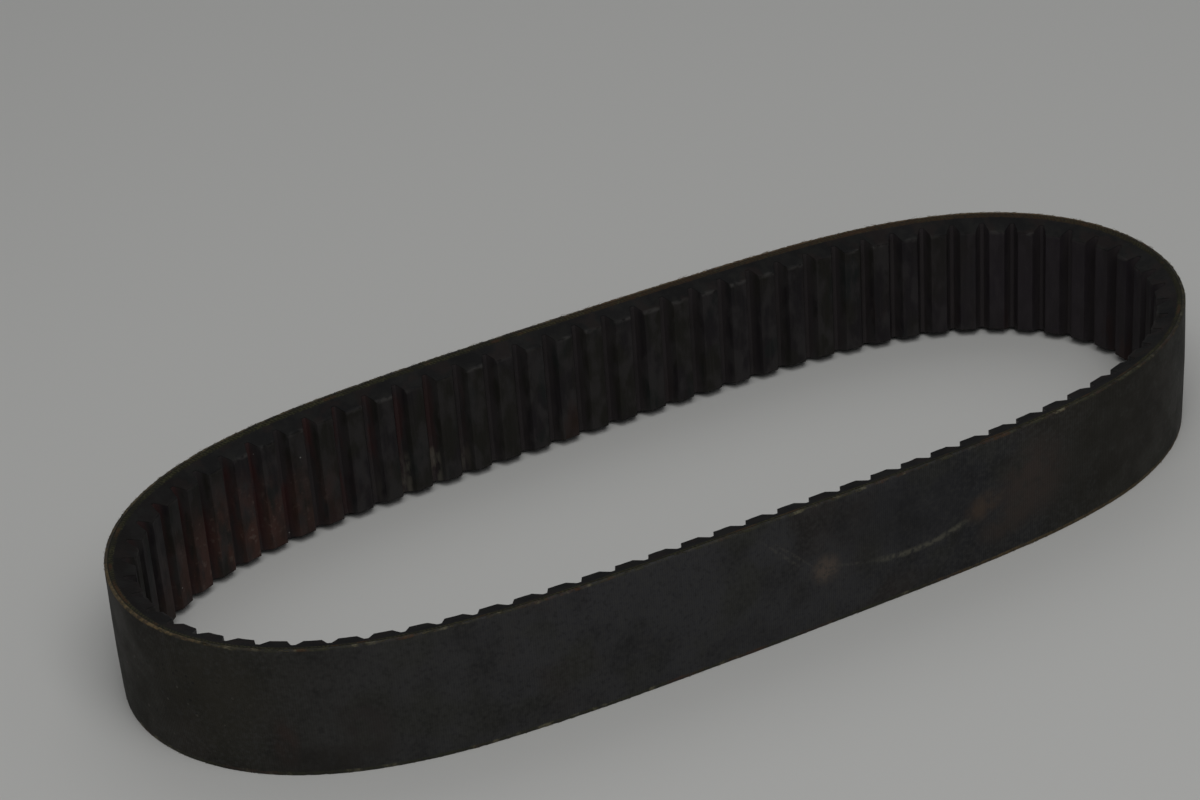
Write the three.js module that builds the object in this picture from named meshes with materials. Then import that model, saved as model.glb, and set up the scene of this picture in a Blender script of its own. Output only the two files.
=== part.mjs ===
// A wide variable-speed V-belt with cogs on its inside, standing on one edge as a long oval loop.
// Millimetres, +Z up. The origin is the middle of the loop, on the plane that the belt stands on,
// and the two long runs lie along X, with the front run on the -Y side.
//
// The belt is three bonded layers: a back cover of rubbered fabric, a layer of tensile cord and a
// cogged body of rubber. It bends in the notches between its cogs. Here twelve of the notches are
// hinges about the cord line, so the loop is a chain of links that each carry five or ten cogs. A place
// on the belt is given by its distance along the back, from the middle of the front run and
// anticlockwise as seen from above, and by its depth below the back.

import * as THREE from 'three';

// Driving dimensions
const beltWidth = 50.8; // across the back, and the height at which the belt stands
const beltThickness = 10.5; // from the back to the cog tips
const cogPitch = 12.7; // from one cog to the next, measured along the back
const cogCount = 80;
const cogHeight = 4.5; // from the floor of a notch to the cog tips
const cogTipLength = 0.52 * cogPitch;
const notchFloorLength = 0.12 * cogPitch;
const sideAngle = THREE.MathUtils.degToRad(20); // how far each side wall leans in from square
const coverThickness = 1.2;
const cordThickness = 1.4;
const layerGap = 0.3; // left between two layers that touch

// The loop's bend: its mean curvature times 1 + runBend cos(2a) + endBend cos(4a), where a is the
// distance along the back as an angle. The runs are nearly straight and the ends are tight.
const runBend = -1.24;
const endBend = 0.28;

// The notches, and the clearance at the ends of the links
const notchShift = -0.15 * cogPitch; // from the middle of the front run to the first notch
const hingeClearance = 0.65; // from a hinge plane to the end of each layer
const notchClearance = 1.3; // the same, where the cogged body meets the notch

// The notches that links end at, numbered from 0 for the first one. When the loop turns flatter or
// rounder, its bend changes most in the middle of the runs and at the ends, and not at all half way
// between them. So each quarter of the loop has a hinge at its start and one on each side of its
// middle. The loop is split once, in the middle of its third quarter, where it doesn't bend.
const notchesPerQuarter = cogCount / 4;
const splitNotch = 2.5 * notchesPerQuarter;
const linkEnds = [splitNotch, cogCount];
for (let quarter = 0; quarter < 4; quarter++) {
  for (const share of [0, 1 / 4, 3 / 4]) {
    linkEnds.push((quarter + share) * notchesPerQuarter);
  }
}
linkEnds.sort((a, b) => a - b);

const loopLength = cogPitch * cogCount;
const bodyDepth = coverThickness + cordThickness + 2 * layerGap; // where the cogged body starts
const notchDepth = beltThickness - cogHeight;
const flankLength = (cogPitch - cogTipLength - notchFloorLength) / 2;
const pathStep = 1; // longest step in following the loop's bend

function heading(distance) {
  const angle = (2 * Math.PI * distance) / loopLength;
  return angle + (runBend / 2) * Math.sin(2 * angle) + (endBend / 4) * Math.sin(4 * angle);
}

// How far the back has travelled along X and Y after a distance from the middle of the front run
function travel(distance) {
  const steps = Math.max(1, Math.ceil(Math.abs(distance) / pathStep));
  const step = distance / steps;
  const sum = new THREE.Vector2();
  for (let i = 0; i < steps; i++) {
    const angle = heading((i + 0.5) * step);
    sum.x += step * Math.cos(angle);
    sum.y += step * Math.sin(angle);
  }
  return sum;
}

const runOffset = travel(loopLength / 4).y; // from the middle of the loop to the back of each run

// The cover's edges are square. Below it the side walls lean in towards the cog tips.
function halfWidth(depth) {
  return beltWidth / 2 - Math.max(0, depth - coverThickness) * Math.tan(sideAngle);
}

// A point on the edge of the belt: side is 1 on the upper edge and -1 on the lower one
function edgePoint(distance, depth, side) {
  const back = travel(distance);
  const angle = heading(distance);
  return new THREE.Vector3(
    back.x - depth * Math.sin(angle),
    back.y - runOffset + depth * Math.cos(angle),
    beltWidth / 2 + side * halfWidth(depth),
  );
}

// Carries a four-cornered section from station to station. A station gives the distance and the depth
// of the section's outer side, next to the back, and of its inner side.
function stripGeometry(stations) {
  const points = [];
  for (const { outer, inner } of stations) {
    points.push(edgePoint(...outer, -1), edgePoint(...outer, 1));
    points.push(edgePoint(...inner, 1), edgePoint(...inner, -1));
  }
  const index = [];
  const addQuad = (a, b, c, d) => index.push(a, b, c, a, c, d);
  for (let i = 0; i + 1 < stations.length; i++) {
    for (let corner = 0; corner < 4; corner++) {
      const next = (corner + 1) % 4;
      addQuad(4 * i + corner, 4 * i + 4 + corner, 4 * i + 4 + next, 4 * i + next);
    }
  }
  const last = 4 * stations.length - 4;
  addQuad(0, 1, 2, 3);
  addQuad(last + 3, last + 2, last + 1, last);
  const geometry = new THREE.BufferGeometry().setFromPoints(points);
  geometry.setIndex(index);
  geometry.computeVertexNormals();
  return geometry;
}

function notchPlace(notch) {
  return notch * cogPitch + notchShift;
}

// A plain layer has a station at each end, in each notch and in the middle of each cog
function plainLayer(link, outerDepth, innerDepth) {
  const [first, last] = [linkEnds[link], linkEnds[link + 1]];
  const places = [notchPlace(first) + hingeClearance];
  for (let notch = first + 0.5; notch < last; notch += 0.5) {
    places.push(notchPlace(notch));
  }
  places.push(notchPlace(last) - hingeClearance);
  return stripGeometry(places.map((place) => ({ outer: [place, outerDepth], inner: [place, innerDepth] })));
}

// The cogged body has a station at each corner of each cog. At its ends it slopes back from the hinge
// plane, so that the notch can close.
function coggedBody(link) {
  const [first, last] = [linkEnds[link], linkEnds[link + 1]];
  const station = (place, depth) => ({ outer: [place, bodyDepth], inner: [place, depth] });
  const endDepth = notchDepth + (cogHeight * (notchClearance - notchFloorLength / 2)) / flankLength;
  const endStation = (notch, direction) => ({
    outer: [notchPlace(notch) + direction * hingeClearance, bodyDepth],
    inner: [notchPlace(notch) + direction * notchClearance, endDepth],
  });
  const stations = [endStation(first, 1)];
  for (let cog = first; cog < last; cog++) {
    const middle = notchPlace(cog + 0.5);
    if (cog > first) {
      stations.push(station(middle - cogTipLength / 2 - flankLength, notchDepth));
    }
    stations.push(station(middle - cogTipLength / 2, beltThickness));
    stations.push(station(middle + cogTipLength / 2, beltThickness));
    if (cog + 1 < last) {
      stations.push(station(middle + cogTipLength / 2 + flankLength, notchDepth));
    }
  }
  stations.push(endStation(last, -1));
  return stripGeometry(stations);
}

const coverMaterial = new THREE.MeshStandardMaterial({ color: 0x2b2825, roughness: 0.85, metalness: 0 });
const cordMaterial = new THREE.MeshStandardMaterial({ color: 0x4a3f2c, roughness: 0.9, metalness: 0 });
const bodyMaterial = new THREE.MeshStandardMaterial({ color: 0x1e1b1b, roughness: 0.7, metalness: 0 });

const belt = new THREE.Group();

function addPiece(name, link, geometry, material) {
  const piece = new THREE.Mesh(geometry, material.clone());
  piece.name = `${name}_${String(link + 1).padStart(2, '0')}`;
  belt.add(piece);
}

for (let link = 0; link + 1 < linkEnds.length; link++) {
  const cordDepth = coverThickness + layerGap;
  addPiece('back_cover', link, plainLayer(link, 0, coverThickness), coverMaterial);
  addPiece('tensile_cord', link, plainLayer(link, cordDepth, cordDepth + cordThickness), cordMaterial);
  addPiece('cog_body', link, coggedBody(link), bodyMaterial);
}

export default belt;
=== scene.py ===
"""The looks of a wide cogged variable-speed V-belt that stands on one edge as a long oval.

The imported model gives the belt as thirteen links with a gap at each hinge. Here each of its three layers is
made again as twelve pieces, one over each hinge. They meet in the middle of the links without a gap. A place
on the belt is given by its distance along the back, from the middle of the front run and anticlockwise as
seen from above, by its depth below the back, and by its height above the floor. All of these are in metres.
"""

import math
import random

import bpy
import numpy as np
from mathutils import Matrix, Vector, noise


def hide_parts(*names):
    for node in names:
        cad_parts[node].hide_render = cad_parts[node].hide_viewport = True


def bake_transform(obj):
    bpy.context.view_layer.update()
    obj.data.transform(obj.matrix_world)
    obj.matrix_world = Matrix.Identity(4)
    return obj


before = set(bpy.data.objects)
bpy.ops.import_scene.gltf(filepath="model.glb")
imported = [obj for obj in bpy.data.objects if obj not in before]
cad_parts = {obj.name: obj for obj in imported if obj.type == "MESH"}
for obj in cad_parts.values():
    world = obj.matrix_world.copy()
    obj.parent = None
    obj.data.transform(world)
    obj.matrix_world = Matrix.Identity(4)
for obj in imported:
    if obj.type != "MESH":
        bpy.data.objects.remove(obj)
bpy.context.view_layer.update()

MM = 0.001

# The driving dimensions of the CAD model
BELT_WIDTH = 50.8 * MM
BELT_THICKNESS = 10.5 * MM
COG_PITCH = 12.7 * MM
COG_COUNT = 80
COG_HEIGHT = 4.5 * MM
COG_TIP_LENGTH = 0.52 * COG_PITCH
NOTCH_FLOOR_LENGTH = 0.12 * COG_PITCH
SIDE_ANGLE = math.radians(20)
RUN_BEND = -1.24
END_BEND = 0.28
NOTCH_SHIFT = -0.15 * COG_PITCH

# Where the layers meet, once the gaps between the CAD solids are closed
COVER_DEPTH = 1.2 * MM
CORD_DEPTH = 3.2 * MM
CORD_LINE = 2.2 * MM  # the middle of the cord, where the hinges are

LOOP_LENGTH = COG_PITCH * COG_COUNT
NOTCH_DEPTH = BELT_THICKNESS - COG_HEIGHT
FLANK_LENGTH = (COG_PITCH - COG_TIP_LENGTH - NOTCH_FLOOR_LENGTH) / 2
BLEND_REACH = 2.5 * COG_PITCH  # how far either side of a hinge the blend ends are placed

# The notches that are hinges. Half way through each quarter, at its tenth notch, the bend never changes, so
# there is no hinge. One of those notches is where the chain of links is open.
NOTCHES_PER_QUARTER = COG_COUNT // 4
HINGE_NOTCHES = [
    quarter * NOTCHES_PER_QUARTER + step for quarter in range(4) for step in (0, 5, 15)
]
OPEN_NOTCH = 2 * NOTCHES_PER_QUARTER + 10

# Patterns and fine shapes
SHARP_ANGLE = math.radians(42)
STATION_STEP = COG_PITCH / 12
EDGE_ROUNDING = 0.35 * MM
COG_EDGE_ROUNDING = 0.22 * MM
STRAND_RADIUS = 0.62 * MM
STRAND_TWIST_PITCH = 1.4 * MM
STRAND_SLANT = 3500  # how far the twist turns with depth, in radians per metre
WEAVE_PITCH = LOOP_LENGTH / 1200  # a whole number of threads, so that the weave closes round the loop
UPPER_THREADS = 1500  # loose threads in each metre of the upper edge
LOWER_THREADS = 700


# ---- The path of the belt ----


def heading(distance):
    angle = 2 * math.pi * distance / LOOP_LENGTH
    return angle + RUN_BEND / 2 * np.sin(2 * angle) + END_BEND / 4 * np.sin(4 * angle)


PATH_STEPS = COG_COUNT * 100
path_distance = np.linspace(0, LOOP_LENGTH, PATH_STEPS + 1)
path_heading = heading((path_distance[1:] + path_distance[:-1]) / 2)
path_x = np.append(0, np.cumsum(np.cos(path_heading))) * LOOP_LENGTH / PATH_STEPS
path_y = np.append(0, np.cumsum(np.sin(path_heading))) * LOOP_LENGTH / PATH_STEPS
run_offset = np.interp(LOOP_LENGTH / 4, path_distance, path_y)


def place(distance, depth, height):
    """Points of the row frame, one for each distance, depth and height."""
    on_loop = np.mod(distance, LOOP_LENGTH)
    angle = heading(on_loop)
    x = np.interp(on_loop, path_distance, path_x) - depth * np.sin(angle)
    y = np.interp(on_loop, path_distance, path_y) - run_offset + depth * np.cos(angle)
    return np.stack(np.broadcast_arrays(x, y, height), axis=-1)


def unroll(distance, depth, height):
    """The same places on a belt laid out as a plain ring, where a pattern runs on without a seam."""
    radius = LOOP_LENGTH / (2 * math.pi) - depth
    angle = distance / LOOP_LENGTH * 2 * math.pi
    x, y = radius * np.cos(angle), radius * np.sin(angle)
    return np.stack(np.broadcast_arrays(x, y, height), axis=-1)


def half_width(depth):
    return BELT_WIDTH / 2 - np.maximum(0, depth - COVER_DEPTH) * math.tan(SIDE_ANGLE)


def notch_place(notch):
    return notch * COG_PITCH + NOTCH_SHIFT


# ---- Meshes ----


def lumps(points, size, seed):
    """Smooth noise from -1 to 1 at each point, with features of about the given size."""
    shift = Vector((seed, 2.3 * seed, 3.7 * seed))
    flat = points.reshape(-1, 3) / size
    values = [noise.noise(Vector(point) + shift) for point in flat]
    return np.array(values).reshape(points.shape[:-1])


def unit(vectors):
    return vectors / np.maximum(np.linalg.norm(vectors, axis=-1, keepdims=True), 1e-9)


def outline(corners, rounding, rows, curve_points=4):
    """A closed section at each station, as depths and heights.

    Each corner is an array with one (depth, height) for each station. It is rounded off over the given
    length, and the side after it gets that many rows of points between its ends.
    """
    columns = []
    for i, corner in enumerate(corners):
        following = corners[(i + 1) % len(corners)]
        leaving = corner + rounding[i] * unit(following - corner)
        if rounding[i]:
            arriving = corner + rounding[i] * unit(corners[i - 1] - corner)
            for t in np.linspace(0, 1, curve_points):
                columns.append((1 - t) ** 2 * arriving + 2 * t * (1 - t) * corner + t**2 * leaving)
        else:
            columns.append(corner)
        side_end = following + rounding[(i + 1) % len(corners)] * unit(corner - following)
        for t in np.linspace(0, 1, rows[i] + 2)[1:-1]:
            columns.append(leaving + t * (side_end - leaving))
    section = np.stack(columns, axis=1)
    return section[..., 0], section[..., 1]


def add_attribute(mesh, name, points):
    attribute = mesh.attributes.new(name, "FLOAT_VECTOR", "POINT")
    attribute.data.foreach_set("vector", np.ascontiguousarray(points, np.float32).ravel())


def mesh_piece(name, belt_points, faces, surface):
    """A piece from points given as (distance, depth, height), which its material also reads."""
    distance, depth, height = np.moveaxis(belt_points, -1, 0)
    mesh = bpy.data.meshes.new(name)
    mesh.from_pydata(place(distance, depth, height).tolist(), [], faces)
    add_attribute(mesh, "belt_place", belt_points)
    add_attribute(mesh, "ring_place", unroll(distance, depth, height))
    mesh.materials.append(surface)
    mesh.shade_smooth()
    mesh.set_sharp_from_angle(angle=SHARP_ANGLE)
    mesh.validate()
    piece = bpy.data.objects.new(name, mesh)
    bpy.context.scene.collection.objects.link(piece)
    return piece


def swept_piece(name, stations, depths, heights, surface):
    """Skins a closed section from station to station, with a flat cap at each end."""
    around = depths.shape[1]
    distances = np.broadcast_to(stations[:, None], depths.shape)
    belt_points = np.stack([distances, depths, heights], axis=-1).reshape(-1, 3)
    faces = []
    for i in range(len(stations) - 1):
        for j in range(around):
            k = (j + 1) % around
            faces.append((i * around + j, (i + 1) * around + j, (i + 1) * around + k, i * around + k))
    last = (len(stations) - 1) * around
    faces.append(tuple(range(around)))
    faces.append(tuple(range(last + around - 1, last - 1, -1)))
    return mesh_piece(name, belt_points, faces, surface)


def section_corners(stations, outer_depth, inner_depth):
    """The four corners of a layer's section: outer lower, outer upper, inner upper and inner lower."""
    middle = BELT_WIDTH / 2
    corners = []
    for depth, side in ((outer_depth, -1), (outer_depth, 1), (inner_depth, 1), (inner_depth, -1)):
        depths = np.broadcast_to(depth, stations.shape)
        corners.append(np.stack([depths, middle + side * half_width(depths)], axis=-1))
    return corners


def even_stations(first, last):
    return np.linspace(first, last, 1 + round((last - first) / STATION_STEP))


def cover_piece(name, first, last, surface):
    """The fabric back: a little crowned and uneven, with soft corners and ragged cut edges."""
    stations = even_stations(first, last)
    corners = section_corners(stations, 0.0, COVER_DEPTH)
    depths, heights = outline(corners, (EDGE_ROUNDING, EDGE_ROUNDING, 0, 0), (22, 2, 0, 2))
    ring = unroll(stations[:, None], depths, heights)
    across = (heights / BELT_WIDTH - 0.5) * 2
    outwards = 1 - depths / COVER_DEPTH
    crown = 0.3 * MM * (1 - across**2)
    waves = 0.16 * MM * lumps(ring, 28 * MM, 1) + 0.05 * MM * lumps(ring, 7 * MM, 2)
    at_edge = np.clip((np.abs(across) - 0.97) / 0.03, 0, 1)
    ragged = 0.22 * MM * lumps(ring, 2.6 * MM, 3) + 0.12 * MM * lumps(ring, 1.1 * MM, 4)
    depths = depths - outwards * (crown + waves) + at_edge * outwards * np.abs(ragged)
    heights = heights - np.sign(across) * at_edge * np.abs(ragged) * 0.8
    return swept_piece(name, stations, depths, heights, surface)


def cord_piece(name, first, last, surface):
    """The cord layer: a cut strand stands a little proud of each side wall."""
    stations = even_stations(first, last)
    corners = section_corners(stations, COVER_DEPTH, CORD_DEPTH)
    depths, heights = outline(corners, (0, 0, 0, 0), (0, 9, 0, 9))
    ring = unroll(stations[:, None], depths, heights)
    across_strand = np.clip(np.abs(depths - CORD_LINE) / STRAND_RADIUS, 0, 1)
    bulge = 0.2 * MM * np.sqrt(1 - across_strand**2) * (1 + 0.5 * lumps(ring, 5 * MM, 5))
    recess = 0.12 * MM * np.clip(1 - np.abs(depths - COVER_DEPTH) / (0.4 * MM), 0, 1)
    side = np.sign(heights - BELT_WIDTH / 2)
    heights = heights + side * (bulge - recess)
    return swept_piece(name, stations, depths, heights, surface)


def cog_profile():
    """Stations over one pitch, from the middle of a notch, as places along it and the depths there."""
    floor_end = NOTCH_FLOOR_LENGTH / 2
    tip_start = floor_end + FLANK_LENGTH
    foot = np.array([[floor_end, NOTCH_DEPTH]])
    shoulder = np.array([[tip_start, BELT_THICKNESS]])
    start = np.array([[0.0, NOTCH_DEPTH]])
    middle = np.array([[COG_PITCH / 2, BELT_THICKNESS]])
    along, depth = outline([start, foot, shoulder, middle], (0, 0.3 * MM, 0.15 * MM, 0), (0, 2, 3, 0))
    half = np.stack([along[0], depth[0]], axis=-1)
    mirrored = half[::-1] * (-1, 1) + (COG_PITCH, 0)
    return np.concatenate([half, mirrored[1:]])


def cogs_piece(name, first_notch, last_notch, surface):
    """The cogged body between two places that are counted in notches, and that can lie on a cog."""
    profile = cog_profile()
    stations, inner = [], []
    for notch in range(math.floor(first_notch), math.ceil(last_notch)):
        stations.extend(notch_place(notch) + profile[:, 0])
        inner.extend(profile[:, 1])
    stations, order = np.unique(np.round(stations, 7), return_index=True)
    inner = np.array(inner)[order]
    margin = 0.01 * MM
    kept = (stations > notch_place(first_notch) - margin) & (stations < notch_place(last_notch) + margin)
    stations, inner = stations[kept], inner[kept]

    up_cog = (inner - NOTCH_DEPTH) / COG_HEIGHT
    cog_number = np.floor((stations - NOTCH_SHIFT) / COG_PITCH) % COG_COUNT
    cog_middle = np.stack([7.7 * cog_number, 0 * cog_number, 0 * cog_number], axis=-1)
    inner = inner + up_cog * 0.1 * MM * lumps(cog_middle, 1, 6)
    corners = section_corners(stations, CORD_DEPTH, inner)
    depths, heights = outline(corners, (0, 0, COG_EDGE_ROUNDING, COG_EDGE_ROUNDING), (0, 5, 26, 5))
    ring = unroll(stations[:, None], depths, heights)

    into_cog = np.clip((depths - CORD_DEPTH) / (BELT_THICKNESS - CORD_DEPTH), 0, 1)
    dents = 0.1 * MM * lumps(ring, 9 * MM, 7) + 0.06 * MM * lumps(ring, 2.5 * MM, 8)
    side = (heights - BELT_WIDTH / 2) / (BELT_WIDTH / 2)
    near_end = np.clip((np.abs(side) - 0.75) / 0.12, 0, 1)
    chips = np.clip(lumps(ring, 3.2 * MM, 9) - 0.15, 0, 1) * 0.4 * MM * near_end * into_cog**4
    depths = depths - into_cog * np.abs(dents) - chips
    heights = heights + side * into_cog * 0.1 * MM * lumps(ring, 6 * MM, 10)
    return swept_piece(name, stations, depths, heights, surface)


def fray_piece(name, first, last, surface, draw):
    """Short cut threads that stand out along both edges of the fabric back."""
    points, faces = [], []
    sides, steps = 3, 4
    for edge, threads_per_metre in ((1, UPPER_THREADS), (-1, LOWER_THREADS)):
        for _ in range(round((last - first) * threads_per_metre)):
            distance = draw.uniform(first, last)
            depth = draw.uniform(0.0, 1.1) * MM
            length = draw.triangular(0.4, 2.6, 0.8) * MM * draw.choice((-1, 1))
            radius = draw.uniform(0.035, 0.075) * MM
            lift = draw.uniform(0.02, 0.28) * abs(length)
            out = draw.uniform(-0.1, 0.3) * abs(length)
            curl = draw.uniform(-0.15, 0.15) * abs(length)
            if not first + abs(length) < distance < last - abs(length):
                continue
            base = len(points)
            for t in np.linspace(0, 1, steps):
                thin = radius * (1 - 0.5 * t)
                for corner in range(sides):
                    turn = 2 * math.pi * corner / sides
                    rise = lift * t if edge > 0 else 0.3 * lift * t
                    points.append((
                        distance + length * t,
                        depth - out * t**2 + curl * math.sin(3 * t) + thin * math.cos(turn),
                        BELT_WIDTH / 2 + edge * (BELT_WIDTH / 2 - 0.05 * MM + rise) + thin * math.sin(turn),
                    ))
            for i in range(steps - 1):
                for j in range(sides):
                    k = (j + 1) % sides
                    quad = [base + i * sides + j, base + i * sides + k]
                    quad += [base + (i + 1) * sides + k, base + (i + 1) * sides + j]
                    faces.append(tuple(quad if length > 0 else quad[::-1]))
            start_cap = tuple(range(base, base + sides))
            end_cap = tuple(range(base + (steps - 1) * sides, base + steps * sides))
            faces.append(start_cap[::-1] if length > 0 else start_cap)
            faces.append(end_cap if length > 0 else end_cap[::-1])
    return mesh_piece(name, np.array(points), faces, surface)


# ---- Materials ----


class Surface:
    """A node material. Each method adds nodes and returns the output that carries the result."""

    def __init__(self, name):
        self.material = bpy.data.materials.new(name)
        self.material.use_nodes = True
        self.nodes = self.material.node_tree.nodes
        self.links = self.material.node_tree.links
        self.shader = self.nodes["Principled BSDF"]
        self.ring = self.attribute("ring_place")
        split = self.nodes.new("ShaderNodeSeparateXYZ")
        self.set(split.inputs[0], self.attribute("belt_place"))
        self.distance, self.depth, self.height = split.outputs

    def attribute(self, name):
        node = self.nodes.new("ShaderNodeAttribute")
        node.attribute_name = name
        return node.outputs["Vector"]

    def set(self, socket, value):
        if isinstance(value, bpy.types.NodeSocket):
            self.links.new(value, socket)
        else:
            socket.default_value = value

    def math(self, operation, a, b=0.0):
        node = self.nodes.new("ShaderNodeMath")
        node.operation = operation
        self.set(node.inputs[0], a)
        self.set(node.inputs[1], b)
        return node.outputs[0]

    def chain(self, operation, values):
        result = values[0]
        for value in values[1:]:
            result = self.math(operation, result, value)
        return result

    def total(self, *values):
        return self.chain("ADD", values)

    def product(self, *values):
        return self.chain("MULTIPLY", values)

    def largest(self, *values):
        return self.chain("MAXIMUM", values)

    def minus(self, a, b):
        return self.math("SUBTRACT", a, b)

    def gap(self, a, b):
        return self.math("ABSOLUTE", self.minus(a, b))

    def hypotenuse(self, a, b):
        return self.math("SQRT", self.total(self.product(a, a), self.product(b, b)))

    def spread(self, value, low, high, to_low=0.0, to_high=1.0):
        """Turns low..high into to_low..to_high, smoothly and without going beyond them."""
        node = self.nodes.new("ShaderNodeMapRange")
        node.interpolation_type = "SMOOTHSTEP"
        for socket, given in zip(node.inputs, (value, low, high, to_low, to_high)):
            self.set(socket, given)
        return node.outputs[0]

    def noise(self, size, detail=3.0, stretch=(1, 1, 1), seed=0.0):
        """Noise from about 0 to 1 with features of the given size, stretched along the ring's axes."""
        mapping = self.nodes.new("ShaderNodeMapping")
        self.set(mapping.inputs["Vector"], self.ring)
        self.set(mapping.inputs["Scale"], [1 / (size * s) for s in stretch])
        self.set(mapping.inputs["Location"], (seed, 1.7 * seed, 2.9 * seed))
        node = self.nodes.new("ShaderNodeTexNoise")
        self.set(node.inputs["Vector"], mapping.outputs[0])
        self.set(node.inputs["Scale"], 1.0)
        self.set(node.inputs["Detail"], detail)
        return node.outputs[0]

    def patches(self, size, detail, seed, low, high, to_high=1.0, to_low=0.0, stretch=(1, 1, 1)):
        """Noise as patches, from to_low where the noise is below low to to_high where it is above high."""
        return self.spread(self.noise(size, detail, stretch, seed), low, high, to_low, to_high)

    def specks(self, size, share, seed=0.0):
        """1 on small round specks, one at most in each cell of the given size."""
        mapping = self.nodes.new("ShaderNodeMapping")
        self.set(mapping.inputs["Vector"], self.ring)
        self.set(mapping.inputs["Location"], (seed, seed, seed))
        self.set(mapping.inputs["Scale"], (1 / size,) * 3)
        node = self.nodes.new("ShaderNodeTexVoronoi")
        self.set(node.inputs["Vector"], mapping.outputs[0])
        self.set(node.inputs["Scale"], 1.0)
        return self.spread(node.outputs["Distance"], share, share * 0.6)

    def mix(self, share, a, b):
        node = self.nodes.new("ShaderNodeMix")
        node.data_type = "RGBA"
        self.set(node.inputs[0], share)
        for socket, colour in ((node.inputs[6], a), (node.inputs[7], b)):
            self.set(socket, colour if isinstance(colour, bpy.types.NodeSocket) else (*colour, 1))
        return node.outputs[2]

    def coats(self, colour, *coats):
        """Lays one colour after another over the first, each with its own share."""
        for share, tint in coats:
            colour = self.mix(share, colour, tint)
        return colour

    def near(self, distance, height, length, width, turn=0.0, soft=0.5):
        """1 inside an oval mark at a place on the belt, falling to 0 at its rim."""
        along = self.minus(self.distance, distance)
        up = self.minus(self.height, height)
        cosine, sine = math.cos(turn), math.sin(turn)
        a = self.total(self.product(along, cosine / length), self.product(up, sine / length))
        b = self.total(self.product(along, -sine / width), self.product(up, cosine / width))
        return self.spread(self.hypotenuse(a, b), 1.0, 1.0 - soft)

    def finish(self, colour, roughness, bump, bump_distance, gloss=0.25):
        node = self.nodes.new("ShaderNodeBump")
        self.set(node.inputs["Height"], bump)
        self.set(node.inputs["Distance"], bump_distance)
        self.set(self.shader.inputs["Base Color"], colour)
        self.set(self.shader.inputs["Roughness"], roughness)
        self.set(self.shader.inputs["Specular IOR Level"], gloss)
        self.set(self.shader.inputs["Normal"], node.outputs[0])
        return self.material


def bias_weave(s):
    """The crossing threads of the fabric: 1 on top of them and 0 between."""
    along = s.product(s.distance, math.pi / WEAVE_PITCH)
    across = s.product(s.height, 1.6 * math.pi / WEAVE_PITCH)
    warp = s.math("SINE", s.total(along, across))
    weft = s.math("SINE", s.minus(along, across))
    return s.spread(s.product(warp, weft), -0.9, 0.9)


def fabric_ground(s, grime, fine):
    """The back's own colour: bluish grey along the front, browner round the ends, blotched all over."""
    lap = s.math("COSINE", s.product(s.distance, 4 * math.pi / LOOP_LENGTH))
    blotch = s.noise(55 * MM, 3, seed=1)
    at_ends = s.spread(s.total(s.product(lap, -0.6), s.product(blotch, 0.9)), 0.05, 0.6)
    front = s.math("COSINE", s.product(s.total(s.distance, 65 * MM), 2 * math.pi / LOOP_LENGTH))
    return s.coats(
        (0.0172, 0.0176, 0.0202),
        (at_ends, (0.0200, 0.0180, 0.0118)),
        (s.spread(front, 0.6, 0.95, 0, 0.8), (0.0370, 0.0366, 0.0395)),
        (s.patches(34 * MM, 4, 9, 0.5, 0.66, 0.6), (0.0255, 0.0195, 0.0155)),  # brown
        (s.patches(26 * MM, 4, 19, 0.5, 0.66, 0.6), (0.0230, 0.0232, 0.0165)),  # olive
        (s.spread(grime, 0.45, 0.75, 0, 0.55), (0.0110, 0.0104, 0.0098)),
        (s.patches(3.5 * MM, 6, 10, 0.5, 0.72, 0.5, stretch=(1, 1, 0.45)), (0.033, 0.032, 0.030)),  # rubbed
        (s.spread(fine, 0.46, 0.66, 0, 0.5), (0.040, 0.039, 0.037)),
        (s.spread(fine, 0.46, 0.3, 0, 0.5), (0.0105, 0.0102, 0.0098)),
    )


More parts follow.
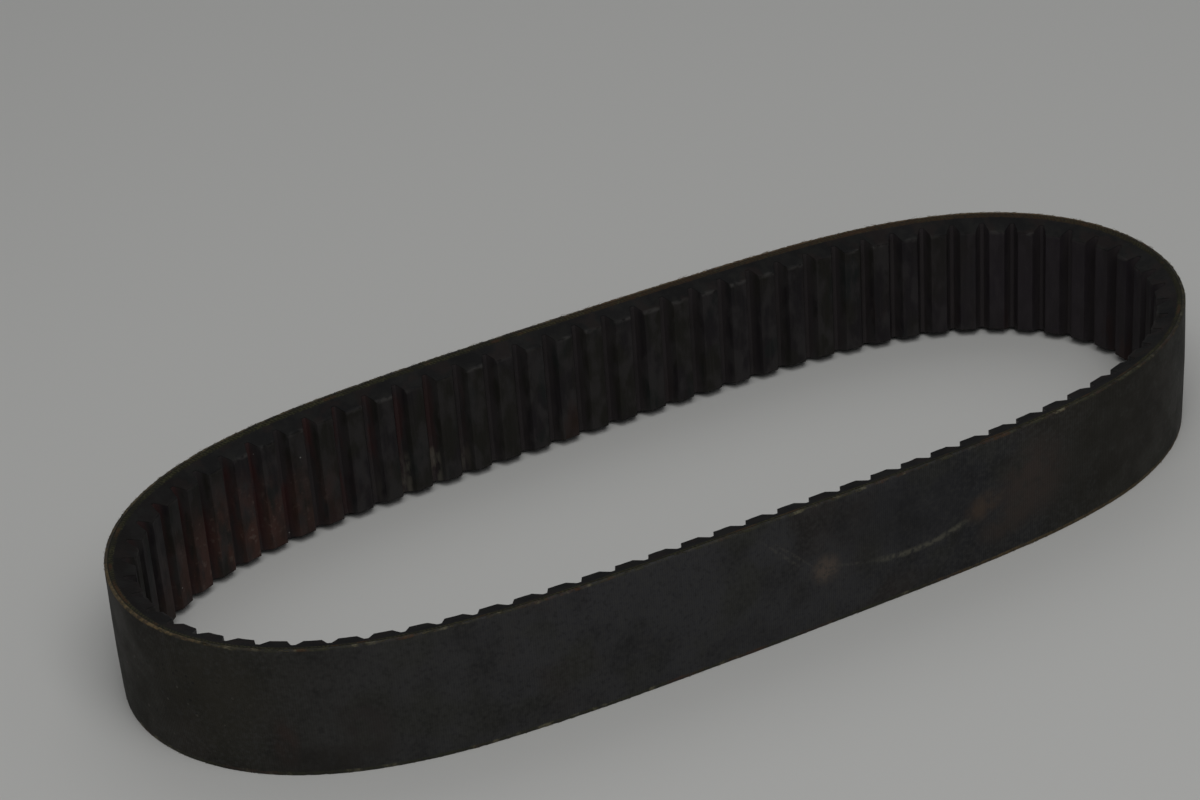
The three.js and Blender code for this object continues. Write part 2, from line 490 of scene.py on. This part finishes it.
def fabric_marks(s, colour, grain):
    """Stains, painted shade at the left end, a round scuff, scratches, a pale arc and small spots, each at
    its place on the back.
    """
    # Distance along the belt, height, half length, half width, turn, colour and strength
    stain_and_shade_marks = (
        (48 * MM, 36 * MM, 44 * MM, 20 * MM, -0.1, (0.0118, 0.0118, 0.0138), 0.6),
        (80 * MM, 25 * MM, 11 * MM, 7.5 * MM, 0.3, (0.066, 0.042, 0.026), 0.65),
        (103 * MM, 28 * MM, 22 * MM, 21 * MM, 0.25, (0.0375, 0.0265, 0.0215), 0.9),
        (90 * MM, 14 * MM, 17 * MM, 9 * MM, 0.1, (0.0335, 0.0245, 0.0195), 0.8),
        (148 * MM, 27 * MM, 52 * MM, 42 * MM, 0.0, (0.0140, 0.0122, 0.0085), 0.9),
        (831 * MM, 13 * MM, 6 * MM, 14 * MM, 0.0, (0.036, 0.022, 0.0175), 0.6),
        (858 * MM, 20 * MM, 12 * MM, 16 * MM, 0.4, (0.027, 0.0225, 0.0215), 0.7),
        # Painted shade, not a stain: darkens the back at the left end.
        (762 * MM, 25 * MM, 45 * MM, 45 * MM, 0.0, (0.0132, 0.0120, 0.0078), 0.85),
        (806 * MM, 30 * MM, 30 * MM, 25 * MM, 0.2, (0.0235, 0.0205, 0.0140), 0.7),
        (846 * MM, 6 * MM, 30 * MM, 9 * MM, 0.1, (0.0165, 0.0140, 0.0115), 0.7),
    )
    blotchy = s.patches(7 * MM, 5, 17, 0.3, 0.6, to_low=0.2)
    for distance, height, length, width, turn, tint, strength in stain_and_shade_marks:
        mark = s.near(distance, height, length, width, turn, 0.7)
        colour = s.mix(s.product(mark, blotchy, strength), colour, tint)

    scuff_radius = 7.6 * MM
    scuff = s.near(13.5 * MM, 23.9 * MM, scuff_radius, scuff_radius, soft=0.75)
    colour = s.mix(s.product(scuff, s.spread(grain, 0.32, 0.6, 0.3, 1.0)), colour, (0.080, 0.062, 0.049))

    # Distance along the belt, height, half length, half width and turn
    scratches = (
        (-3 * MM, 35 * MM, 16 * MM, 0.9 * MM, -0.81),
        (1 * MM, 34 * MM, 14 * MM, 0.8 * MM, -0.78),
        (24 * MM, 22 * MM, 12 * MM, 0.8 * MM, -0.25),
    )
    for scratch in scratches:
        share = s.product(s.near(*scratch, soft=0.7), s.spread(grain, 0.38, 0.6), 0.5)
        colour = s.mix(share, colour, (0.072, 0.067, 0.057))

    arc_radius = 67.8 * MM
    from_centre = s.hypotenuse(s.minus(s.distance, 50 * MM), s.minus(s.height, 18 * MM + arc_radius))
    on_arc = s.spread(s.gap(from_centre, arc_radius), 1.9 * MM, 0.1 * MM)
    arc = s.product(on_arc, s.near(54 * MM, 19 * MM, 24 * MM, 9 * MM, soft=0.4))
    left_end = s.near(LOOP_LENGTH - 232 * MM, 24 * MM, 45 * MM, 24 * MM)
    return s.coats(
        colour,
        (s.product(arc, s.patches(2 * MM, 4, 15, 0.36, 0.6, 0.9, to_low=0.15)), (0.088, 0.084, 0.064)),
        (s.product(s.specks(5 * MM, 0.13, seed=5), left_end, 0.5), (0.080, 0.074, 0.062)),
        (s.product(s.specks(4 * MM, 0.16, seed=6), left_end, 0.7), (0.004, 0.004, 0.004)),
    )


def cut_edge(s, grain):
    """The back's cut edges, where frayed threads show ochre, brightened by painted light along the far rim:
    how much they show, and their colour.
    """
    to_edge = s.minus(BELT_WIDTH / 2, s.gap(s.height, BELT_WIDTH / 2))
    wander = s.product(s.noise(4 * MM, 4, seed=5), 1.1 * MM)
    wider_below = s.spread(s.height, BELT_WIDTH / 2, 0, 0, 1.1 * MM)
    edge = s.spread(s.minus(to_edge, s.total(wander, wider_below)), 0.15 * MM, -0.35 * MM)

    left_end = s.near(LOOP_LENGTH - 243 * MM, BELT_WIDTH, 50 * MM, 20 * MM, soft=0.6)
    # Along the far rim the ochre is brighter: partly the frayed edge's own colour, partly painted light where
    # the rim is lit.
    lit_far_rim = s.near(390 * MM, BELT_WIDTH, 170 * MM, 20 * MM)
    left_rim = s.near(680 * MM, BELT_WIDTH, 130 * MM, 20 * MM)
    lower_right = s.near(150 * MM, 0, 110 * MM, 20 * MM)
    ochre = s.coats(
        (0.032, 0.032, 0.018),
        (s.patches(16 * MM, 3, 6, 0.55, 0.64), (0.060, 0.031, 0.015)),  # orange
        (s.patches(14 * MM, 3, 16, 0.54, 0.62, 0.7), (0.045, 0.026, 0.022)),  # mauve
        (s.patches(5 * MM, 4, 8, 0.55, 0.67), (0.125, 0.113, 0.070)),  # straw
        (s.product(left_end, s.spread(grain, 0.4, 0.62, 0.25, 1.0)), (0.145, 0.100, 0.044)),
        (s.product(lit_far_rim, 0.8), (0.125, 0.084, 0.045)),
        (s.product(left_rim, 0.6), (0.100, 0.074, 0.040)),
        (s.product(lower_right, 0.8), (0.120, 0.084, 0.038)),
    )
    frayed = s.largest(
        s.patches(5 * MM, 6, 7, 0.42, 0.6, 0.9, to_low=0.1),
        s.spread(s.height, BELT_WIDTH / 2, 0, 0, 0.75),
        s.product(lit_far_rim, 0.85),
        s.product(left_end, 0.75),
    )
    return s.product(edge, frayed, s.spread(grain, 0.36, 0.58, 0.45, 1.1)), ochre


def back_fabric():
    """Rubbered fabric: dark grey with a fine bias weave, painted shade between its threads and at the left
    end, staining, scuffs, and ochre where its edge is cut, brightened by painted light on the far rim.
    """
    s = Surface("back_fabric")
    grime = s.noise(16 * MM, 5, seed=2)
    fine = s.noise(1.6 * MM, 3, seed=3)
    grain = s.noise(1.5 * MM, 4, seed=4)
    threads = bias_weave(s)
    ground = fabric_ground(s, grime, fine)
    # Painted shade between the threads of the weave.
    shade_between_threads = s.product(s.minus(1.0, threads), 0.2)
    woven = s.mix(shade_between_threads, ground, (0.006, 0.006, 0.006))
    colour = s.coats(fabric_marks(s, woven, grain), cut_edge(s, grain))
    relief = s.total(s.product(threads, 0.5), s.product(fine, 0.5), s.product(grime, 0.6))
    return s.finish(colour, s.spread(grime, 0.3, 0.7, 0.62, 0.82), relief, 0.12 * MM)


def cut_cord():
    """The side wall at the cord: a twisted brown strand in dark adhesion rubber."""
    s = Surface("cut_cord")
    fine = s.noise(1.2 * MM, 3, seed=11)
    along = s.product(s.distance, 2 * math.pi / STRAND_TWIST_PITCH)
    twist = s.math("SINE", s.total(along, s.product(s.depth, STRAND_SLANT)))
    strand = s.spread(s.gap(s.depth, CORD_LINE), 0.75 * MM, 0.45 * MM)
    bare = s.patches(14 * MM, 4, 12, 0.3, 0.65, 0.85, to_low=0.12)
    thread = s.mix(s.spread(twist, -0.8, 0.8), (0.013, 0.013, 0.006), (0.040, 0.037, 0.018))
    # Along the far rim the cord is paler and browner: partly its own colour, partly painted light where the
    # rim is lit.
    lit_far_rim = s.near(390 * MM, BELT_WIDTH, 150 * MM, 20 * MM)
    colour = s.coats(
        (0.0085, 0.0085, 0.0080),
        (s.spread(fine, 0.3, 0.7), (0.020, 0.019, 0.012)),
        (s.product(strand, bare), thread),
        (s.product(s.patches(0.9 * MM, 2, 14, 0.52, 0.64), bare, 0.8), (0.050, 0.050, 0.024)),  # olive
        (s.product(s.patches(12 * MM, 4, 13, 0.56, 0.66), strand, 0.6), (0.055, 0.026, 0.014)),  # brown
        (s.product(lit_far_rim, s.spread(fine, 0.35, 0.6, 0.2, 0.7)), (0.040, 0.023, 0.0135)),
    )
    relief = s.total(s.product(twist, strand, 0.4), fine)
    return s.finish(colour, s.spread(fine, 0.3, 0.7, 0.7, 0.9), relief, 0.1 * MM, gloss=0.15)


def rubber_ground(s, broad, mottle, streaks):
    """The cogs' own colour: nearly black, with paler streaks across the belt, and a mauve right end."""
    right_end = s.near(285 * MM, BELT_WIDTH / 2, 100 * MM, 60 * MM, soft=0.8)
    return s.coats(
        (0.0142, 0.0120, 0.0136),
        (s.spread(broad, 0.42, 0.56), (0.0158, 0.0148, 0.0120)),
        (s.patches(13 * MM, 3, 34, 0.54, 0.66, 0.7, stretch=(1, 1, 1.8)), (0.0122, 0.0150, 0.0146)),  # teal
        (s.spread(mottle, 0.42, 0.64, 0, 0.7), (0.0350, 0.0320, 0.0320)),
        (s.spread(streaks, 0.45, 0.7, 0, 0.45), (0.026, 0.023, 0.022)),
        (s.product(right_end, 0.6), (0.0285, 0.0225, 0.0275)),
    )


def wall_colour(s, mottle):
    """The cut side walls: darker than the cogs, and darkest beside the left end, where shade is painted on.
    """
    left_end_wall_shade = s.near(732 * MM, BELT_WIDTH, 75 * MM, 40 * MM, soft=0.6)
    return s.coats(
        (0.0066, 0.0064, 0.0066),
        (s.spread(mottle, 0.4, 0.65), (0.0112, 0.0110, 0.0102)),
        (s.patches(9 * MM, 3, 35, 0.5, 0.62, 0.55), (0.0158, 0.0106, 0.0096)),  # reddish
        # Painted shade, a little brown: darkens the side walls beside the left end.
        (s.product(left_end_wall_shade, s.spread(mottle, 0.35, 0.6, 1.0, 0.4), 0.8), (0.0068, 0.0052, 0.0046)),
    )


def rust_dust_and_fill_light(s, colour, off_wall):
    """Rust low on the far run's left part, red staining in the notches, painted fill light that lifts the
    notches' shade, pale dust and specks.
    """
    in_notch = s.product(s.spread(s.depth, NOTCH_DEPTH + 3.4 * MM, NOTCH_DEPTH + 0.4 * MM), off_wall)
    low = s.spread(s.height, 32 * MM, 6 * MM)
    rust_place = s.near(660 * MM, 14 * MM, 66 * MM, 34 * MM, soft=0.85)
    rust_patches = s.patches(5 * MM, 6, 25, 0.34, 0.6, to_low=0.08, stretch=(1, 1, 2.5))
    rust = s.product(rust_place, rust_patches, off_wall)
    rust_spots = s.patches(2.2 * MM, 4, 33, 0.56, 0.7)
    thin_rust = s.patches(11 * MM, 4, 26, 0.56, 0.68, stretch=(1, 1, 5))
    dust_place = s.near(574 * MM, 9 * MM, 24 * MM, 13 * MM)
    dust = s.patches(4 * MM, 4, 27, 0.38, 0.52, stretch=(1, 1, 2))
    notch_fill_light = s.patches(7 * MM, 4, 28, 0.3, 0.7, 0.9, to_low=0.55, stretch=(1, 1, 3))
    red_place = s.near(655 * MM, 30 * MM, 150 * MM, 42 * MM, soft=0.8)
    red = s.patches(9 * MM, 4, 37, 0.46, 0.6, stretch=(1, 1, 3))
    speck_place = s.near(650 * MM, 18 * MM, 130 * MM, 34 * MM)
    return s.coats(
        colour,
        (s.product(rust, 0.8), (0.070, 0.033, 0.026)),
        (s.product(rust, rust_spots, 0.55), (0.120, 0.088, 0.074)),
        (s.product(thin_rust, low, 0.4), (0.038, 0.0165, 0.0120)),
        (s.product(dust_place, in_notch, dust, 0.8), (0.260, 0.245, 0.190)),
        # Painted fill light: a pale, dusty tone that lifts the shade inside the notches.
        (s.product(in_notch, notch_fill_light), (0.042, 0.036, 0.037)),
        (s.product(in_notch, red_place, red, 0.75), (0.058, 0.020, 0.018)),
        (s.product(s.specks(8 * MM, 0.04, seed=3), speck_place, off_wall, 0.8), (0.350, 0.340, 0.320)),
    )


def cog_rubber():
    """Moulded rubber: nearly black, streaked across the belt, with rust, dust, worn edges and painted fill
    light in the notches.
    """
    s = Surface("cog_rubber")
    streaks = s.noise(1.1 * MM, 4, stretch=(1, 1, 18), seed=21)
    broad = s.noise(22 * MM, 3, stretch=(1, 1, 1.6), seed=22)
    fine = s.noise(0.9 * MM, 3, seed=23)
    mottle = s.noise(5 * MM, 4, stretch=(1, 1, 2.2), seed=30)

    past_cord = s.minus(s.gap(s.height, BELT_WIDTH / 2), half_width(CORD_DEPTH))
    past_wall = s.total(past_cord, s.product(s.minus(s.depth, CORD_DEPTH), math.tan(SIDE_ANGLE)))
    on_wall = s.spread(past_wall, -0.45 * MM, -0.1 * MM)

    # The tips' corners are worn along the side walls, more above than below
    inside_corner = s.spread(past_wall, -1.7 * MM, -0.5 * MM)
    at_corner = s.product(inside_corner, s.spread(past_wall, 0.1 * MM, -0.2 * MM))
    at_tip = s.spread(s.depth, BELT_THICKNESS - 1.3 * MM, BELT_THICKNESS - 0.3 * MM)
    upper = s.spread(s.height, BELT_WIDTH * 0.3, BELT_WIDTH * 0.7, 0.2, 1.0)
    worn = s.product(at_corner, at_tip, upper, s.patches(2.5 * MM, 4, 24, 0.36, 0.58))
    bare_cogs = s.patches(24 * MM, 2, 36, 0.42, 0.6, 0.75, to_low=0.15)

    rubber = s.coats(
        rubber_ground(s, broad, mottle, streaks),
        (on_wall, wall_colour(s, mottle)),
        (s.product(worn, bare_cogs), (0.066, 0.063, 0.060)),
    )
    colour = rust_dust_and_fill_light(s, rubber, s.minus(1.0, on_wall))
    relief = s.total(s.product(streaks, 0.8), s.product(fine, 0.4), s.product(worn, 0.5))
    return s.finish(colour, s.spread(broad, 0.3, 0.7, 0.55, 0.72), relief, 0.12 * MM, gloss=0.14)


def loose_thread():
    """Cut threads: ochre to straw, with some stained brown."""
    s = Surface("loose_thread")
    tone = s.noise(2.5 * MM, 2, seed=31)
    colour = s.coats(
        (0.034, 0.026, 0.012),
        (s.spread(tone, 0.35, 0.65), (0.130, 0.108, 0.058)),
        (s.patches(20 * MM, 3, 32, 0.5, 0.65), (0.070, 0.030, 0.012)),  # brown stains
    )
    return s.finish(colour, 0.85, tone, 0.03 * MM)


def plain_floor():
    s = Surface("plain_floor")
    s.set(s.shader.inputs["Base Color"], (0.655, 0.655, 0.635, 1))
    s.set(s.shader.inputs["Roughness"], 0.9)
    return s.material


# ---- The belt ----

link_ends = sorted([*HINGE_NOTCHES, OPEN_NOTCH, COG_COUNT])


def link_before(notch):
    return f"link_{link_ends.index(notch or COG_COUNT):02d}"


def link_after(notch):
    return f"link_{link_ends.index(notch) + 1:02d}"


LAYERS = {
    "fabric_back": ("back_cover", "back_fabric", cover_piece, back_fabric()),
    "cord_line": ("tensile_cord", "cord_layer", cord_piece, cut_cord()),
    "cog_strip": ("cog_body", "cog_rubber", cogs_piece, cog_rubber()),
}
thread_material = loose_thread()
middle_height = BELT_WIDTH / 2

for number, hinge in enumerate(HINGE_NOTCHES):
    hinge_before = HINGE_NOTCHES[number - 1] - (COG_COUNT if number == 0 else 0)
    hinge_after = HINGE_NOTCHES[number + 1] if number + 1 < len(HINGE_NOTCHES) else COG_COUNT
    first_notch, last_notch = (hinge_before + hinge) / 2, (hinge + hinge_after) / 2
    body_a, body_b = link_before(hinge), link_after(hinge)
    blend_ends = [
        place(notch_place(hinge) + reach, BELT_THICKNESS, middle_height).tolist()
        for reach in (-BLEND_REACH, BLEND_REACH)
    ]
    first, last = notch_place(first_notch), notch_place(last_notch)
    pieces = []
    for layer, (node, slot, make, surface) in LAYERS.items():
        ends = (first_notch, last_notch) if make is cogs_piece else (first, last)
        piece = make(f"{layer}_{number + 1:02d}", *ends, surface)
        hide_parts(*(body.replace("link", node) for body in (body_a, body_b)))
        pieces.append(piece)
    fray = fray_piece(f"frayed_edge_{number + 1:02d}", first, last, thread_material, random.Random(number))
    for piece in (*pieces, fray):
        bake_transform(piece)


# ---- The floor, the light and the camera ----

FLOOR_SIZE = 12.0
floor_mesh = bpy.data.meshes.new("floor")
half = FLOOR_SIZE / 2
floor_corners = [(-half, -half, 0), (half, -half, 0), (half, half, 0), (-half, half, 0)]
floor_mesh.from_pydata(floor_corners, [], [(0, 1, 2, 3)])
floor_mesh.materials.append(plain_floor())
floor = bpy.data.objects.new("floor", floor_mesh)
bpy.context.scene.collection.objects.link(floor)

world = bpy.data.worlds.new("soft_light")
bpy.context.scene.world = world
world.use_nodes = True
background = world.node_tree.nodes["Background"]
background.inputs["Color"].default_value = (0.97, 0.98, 1.0, 1)
background.inputs["Strength"].default_value = 0.18


def soft_box(name, spot, size, power):
    """A square area light that faces the middle of the belt."""
    light = bpy.data.lights.new(name, "AREA")
    light.size = size
    light.energy = power
    lamp = bpy.data.objects.new(name, light)
    lamp.location = spot
    lamp.rotation_euler = (-Vector(spot)).to_track_quat("-Z", "Y").to_euler()
    bpy.context.scene.collection.objects.link(lamp)


soft_box("key_light", spot=(-0.25, -0.8, 1.5), size=1.3, power=10.7)
soft_box("back_light", spot=(0.5, 1.1, 1.9), size=1.6, power=3.8)

SENSOR_WIDTH = 36.0  # millimetres, as the lens length below
LENS_LENGTH = 97.7
CAMERA_PLACE = Vector((-0.4664, -0.8864, 0.6589))
CAMERA_HEADING = math.radians(26.35)  # to the right of +Y
CAMERA_PITCH = math.radians(-31.0)
CAMERA_ROLL = math.radians(-4.26)

camera = bpy.data.objects.new("camera", bpy.data.cameras.new("camera"))
camera.data.sensor_width = SENSOR_WIDTH
camera.data.lens = LENS_LENGTH
turn = Matrix.Rotation(-CAMERA_HEADING, 4, "Z") @ Matrix.Rotation(math.pi / 2 + CAMERA_PITCH, 4, "X")
camera.matrix_world = Matrix.Translation(CAMERA_PLACE) @ turn @ Matrix.Rotation(CAMERA_ROLL, 4, "Z")
bpy.context.scene.collection.objects.link(camera)
bpy.context.scene.camera = camera
bpy.context.scene.view_settings.view_transform = "Standard"
